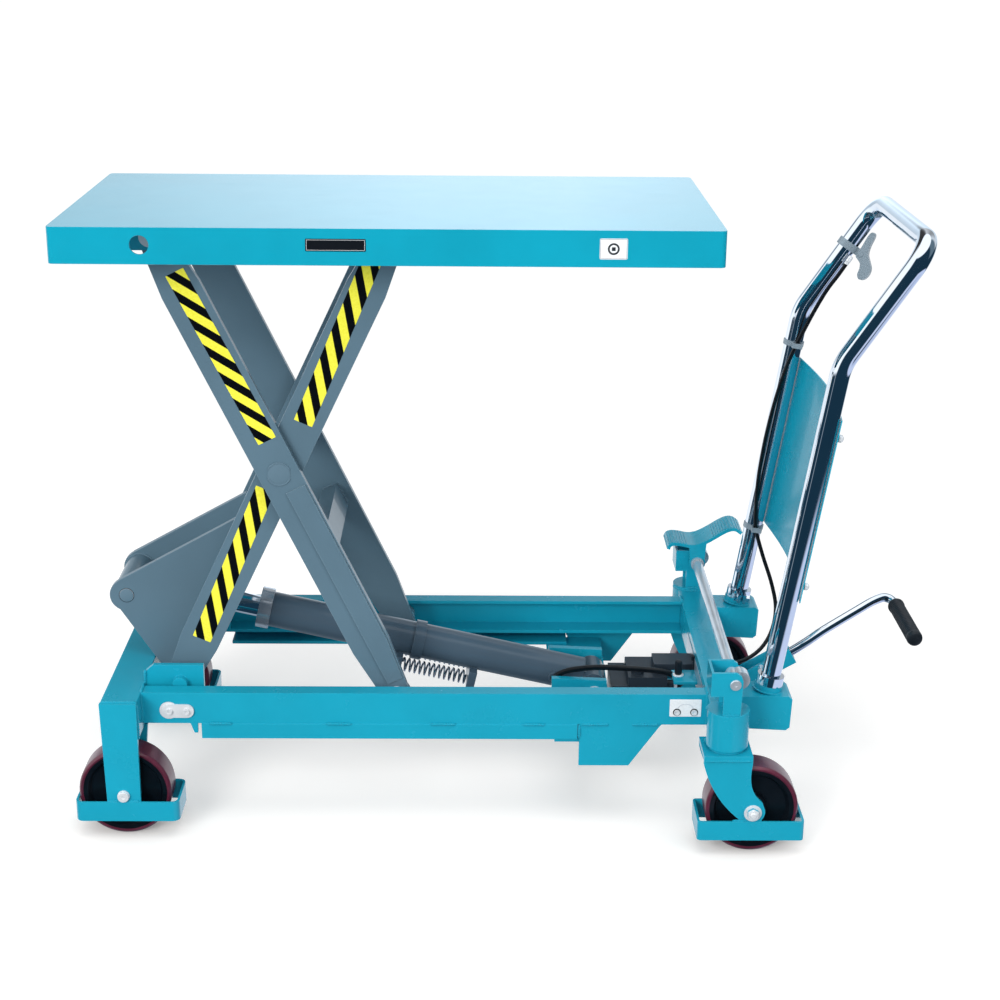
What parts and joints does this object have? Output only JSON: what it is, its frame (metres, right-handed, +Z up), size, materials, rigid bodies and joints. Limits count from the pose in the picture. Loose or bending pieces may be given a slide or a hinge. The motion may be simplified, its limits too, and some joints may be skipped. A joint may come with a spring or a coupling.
{
  "type": "scissor lift table",
  "caption": "Mobile hydraulic scissor lift table: flat sheet platform on crossed arms, foot pump, push handle with release lever, two fixed wheels and two braked swivel castors.",
  "frame": {"origin": "on the floor under the middle of the whole table, handle and pedal included, with the platform raised", "axes": "+X towards the push handle, +Y across the table to the operator's right, +Z up"},
  "size_m": [1.4014, 0.636, 0.9999],
  "materials": {
    "teal_paint": "gloss turquoise enamel",
    "platform_paint": "gloss turquoise enamel",
    "arm_paint": "satin blue grey paint",
    "cylinder_paint": "semi gloss dark grey paint",
    "pump_paint": "painted casting",
    "chrome": "bright chrome plate",
    "zinc": "bright zinc plate",
    "ground_steel": "ground steel",
    "bronze": "plain bearing bronze",
    "spring_steel": "oiled spring steel",
    "core_plastic": "moulded black core",
    "tread": "maroon polyurethane",
    "black_rubber": "moulded rubber",
    "hose_rubber": "ribbed rubber hose"
  },
  "bodies": {
    "base": {"side_channels": "teal_paint", "load_end_beam": "teal_paint", "handle_end_beam": "teal_paint", "wheel_legs": "teal_paint", "pivot_brackets": "teal_paint", "base_pins": "zinc", "lock_plates": "zinc", "frame_screws": "zinc", "cylinder_anchor": "teal_paint", "pump_body": "pump_paint", "pump_spring": "spring_steel", "release_valve": "bronze", "pressure_hose": "hose_rubber", "pedal_bracket": "teal_paint", "handle_sockets": "teal_paint", "handle_tube": "chrome", "handle_clamps": "chrome", "back_panel": "teal_paint", "release_cable": "hose_rubber", "cable_clips": "chrome", "castor_housings": "teal_paint", "castor_bearings": "zinc", "brake_brackets": "teal_paint"},
    "inner_arms": {"inner_arm_plates": "arm_paint", "inner_arm_tubes": "arm_paint", "lever_plates": "arm_paint", "inner_arm_pins": "zinc", "inner_arm_bushes": "bronze"},
    "outer_arms": {"outer_arm_plates": "arm_paint", "outer_arm_tubes": "arm_paint", "outer_arm_pins": "zinc", "outer_arm_bushes": "bronze"},
    "platform": {"platform_top": "platform_paint", "platform_frame": "teal_paint", "platform_pins": "zinc"},
    "base_rollers": {"base_rollers": "ground_steel"},
    "platform_rollers": {"platform_rollers": "ground_steel"},
    "cylinder": {"cylinder_barrel": "cylinder_paint", "cylinder_gland": "ground_steel", "return_springs": "spring_steel"},
    "piston_rod": {"piston_rod": "chrome"},
    "castor_left": {"castor_fork_left": "teal_paint"},
    "castor_right": {"castor_fork_right": "teal_paint"},
    "castor_wheel_left": {"castor_core_left": "core_plastic", "castor_tread_left": "tread"},
    "castor_wheel_right": {"castor_core_right": "core_plastic", "castor_tread_right": "tread"},
    "fixed_wheel_left": {"fixed_core_left": "core_plastic", "fixed_tread_left": "tread"},
    "fixed_wheel_right": {"fixed_core_right": "core_plastic", "fixed_tread_right": "tread"},
    "brake": {"brake_shaft": "ground_steel", "brake_pedal": "teal_paint"},
    "brake_plungers": {"brake_plungers": "zinc"},
    "pedal": {"pedal_lever": "teal_paint", "pedal_rod": "chrome", "pedal_grip": "black_rubber"},
    "pump_plunger": {"pump_plunger": "chrome"},
    "release_lever": {"release_lever": "chrome"},
    "valve_lever": {"valve_lever": "zinc"}
  },
  "joints": [
    {"name": "lift", "type": "hinge", "parent": "base", "child": "inner_arms", "pos_m": [-0.54975, 0, 0.206], "axis": [0, 1, 0], "range_deg": [0, 45.4]},
    {"name": "scissor", "type": "hinge", "parent": "inner_arms", "child": "outer_arms", "pos_m": [-0.36676, 0, 0.58793], "axis": [0, 1, 0], "range_deg": [-90.8, 0]},
    {"name": "platform_level", "type": "hinge", "parent": "outer_arms", "child": "platform", "pos_m": [-0.54975, 0, 0.96985], "axis": [0, 1, 0], "range_deg": [0, 45.4]},
    {"name": "cylinder_tilt", "type": "hinge", "parent": "base", "child": "cylinder", "pos_m": [0.14925, 0, 0.172], "axis": [0, 1, 0], "range_deg": [0, 3.86]},
    {"name": "rod_stroke", "type": "slide", "parent": "cylinder", "child": "piston_rod", "axis": [-0.9755, 0, 0.22], "range_m": [-0.11866, 0]},
    {"name": "base_roller_spin", "type": "hinge", "parent": "outer_arms", "child": "base_rollers", "pos_m": [-0.18377, 0, 0.206], "axis": [0, 1, 0], "continuous": true},
    {"name": "platform_roller_spin", "type": "hinge", "parent": "inner_arms", "child": "platform_rollers", "pos_m": [-0.18377, 0, 0.96985], "axis": [0, 1, 0], "continuous": true},
    {"name": "castor_swivel_left", "type": "hinge", "parent": "base", "child": "castor_left", "pos_m": [0.34925, -0.275, 0.17], "axis": [0, 0, 1], "continuous": true},
    {"name": "castor_swivel_right", "type": "hinge", "parent": "base", "child": "castor_right", "pos_m": [0.34925, 0.275, 0.17], "axis": [0, 0, 1], "continuous": true},
    {"name": "castor_roll_left", "type": "hinge", "parent": "castor_left", "child": "castor_wheel_left", "pos_m": [0.39125, -0.275, 0.075], "axis": [0, 1, 0], "continuous": true},
    {"name": "castor_roll_right", "type": "hinge", "parent": "castor_right", "child": "castor_wheel_right", "pos_m": [0.39125, 0.275, 0.075], "axis": [0, 1, 0], "continuous": true},
    {"name": "fixed_roll_left", "type": "hinge", "parent": "base", "child": "fixed_wheel_left", "pos_m": [-0.62175, -0.222, 0.075], "axis": [0, 1, 0], "continuous": true},
    {"name": "fixed_roll_right", "type": "hinge", "parent": "base", "child": "fixed_wheel_right", "pos_m": [-0.62175, 0.222, 0.075], "axis": [0, 1, 0], "continuous": true},
    {"name": "brake_press", "type": "hinge", "parent": "base", "child": "brake", "pos_m": [0.35425, 0, 0.294], "axis": [0, 1, 0], "range_deg": [0, 24]},
    {"name": "brake_plunge", "type": "slide", "parent": "base", "child": "brake_plungers", "axis": [0, 0, -1], "range_m": [0, 0.00407]},
    {"name": "pedal_press", "type": "hinge", "parent": "base", "child": "pedal", "pos_m": [0.39225, 0, 0.16], "axis": [0, 1, 0], "range_deg": [0, 30]},
    {"name": "pump_stroke", "type": "slide", "parent": "base", "child": "pump_plunger", "axis": [-1, 0, 0], "range_m": [0, 0.013], "deforming": ["pump_spring"]},
    {"name": "release_squeeze", "type": "hinge", "parent": "base", "child": "release_lever", "pos_m": [0.60413, 0.17967, 0.88174], "axis": [0.3532, 0.9063, -0.232], "range_deg": [0, 16]},
    {"name": "valve_turn", "type": "hinge", "parent": "base", "child": "valve_lever", "pos_m": [0.29525, 0.03, 0.172], "axis": [1, 0, 0], "range_deg": [0, 20]}
  ],
  "couplings": [
    {"joint": "scissor", "follows": "lift", "ratio": -2},
    {"joint": "platform_level", "follows": "lift", "ratio": 1},
    {"joint": "cylinder_tilt", "follows": "lift", "ratio": 0.08508},
    {"joint": "rod_stroke", "follows": "lift", "m_per_rad": -0.14974},
    {"joint": "brake_plunge", "follows": "brake_press", "m_per_rad": 0.00971},
    {"joint": "pump_stroke", "follows": "pedal_press", "m_per_rad": 0.024828},
    {"joint": "valve_turn", "follows": "release_squeeze", "ratio": 1.25}
  ]
}
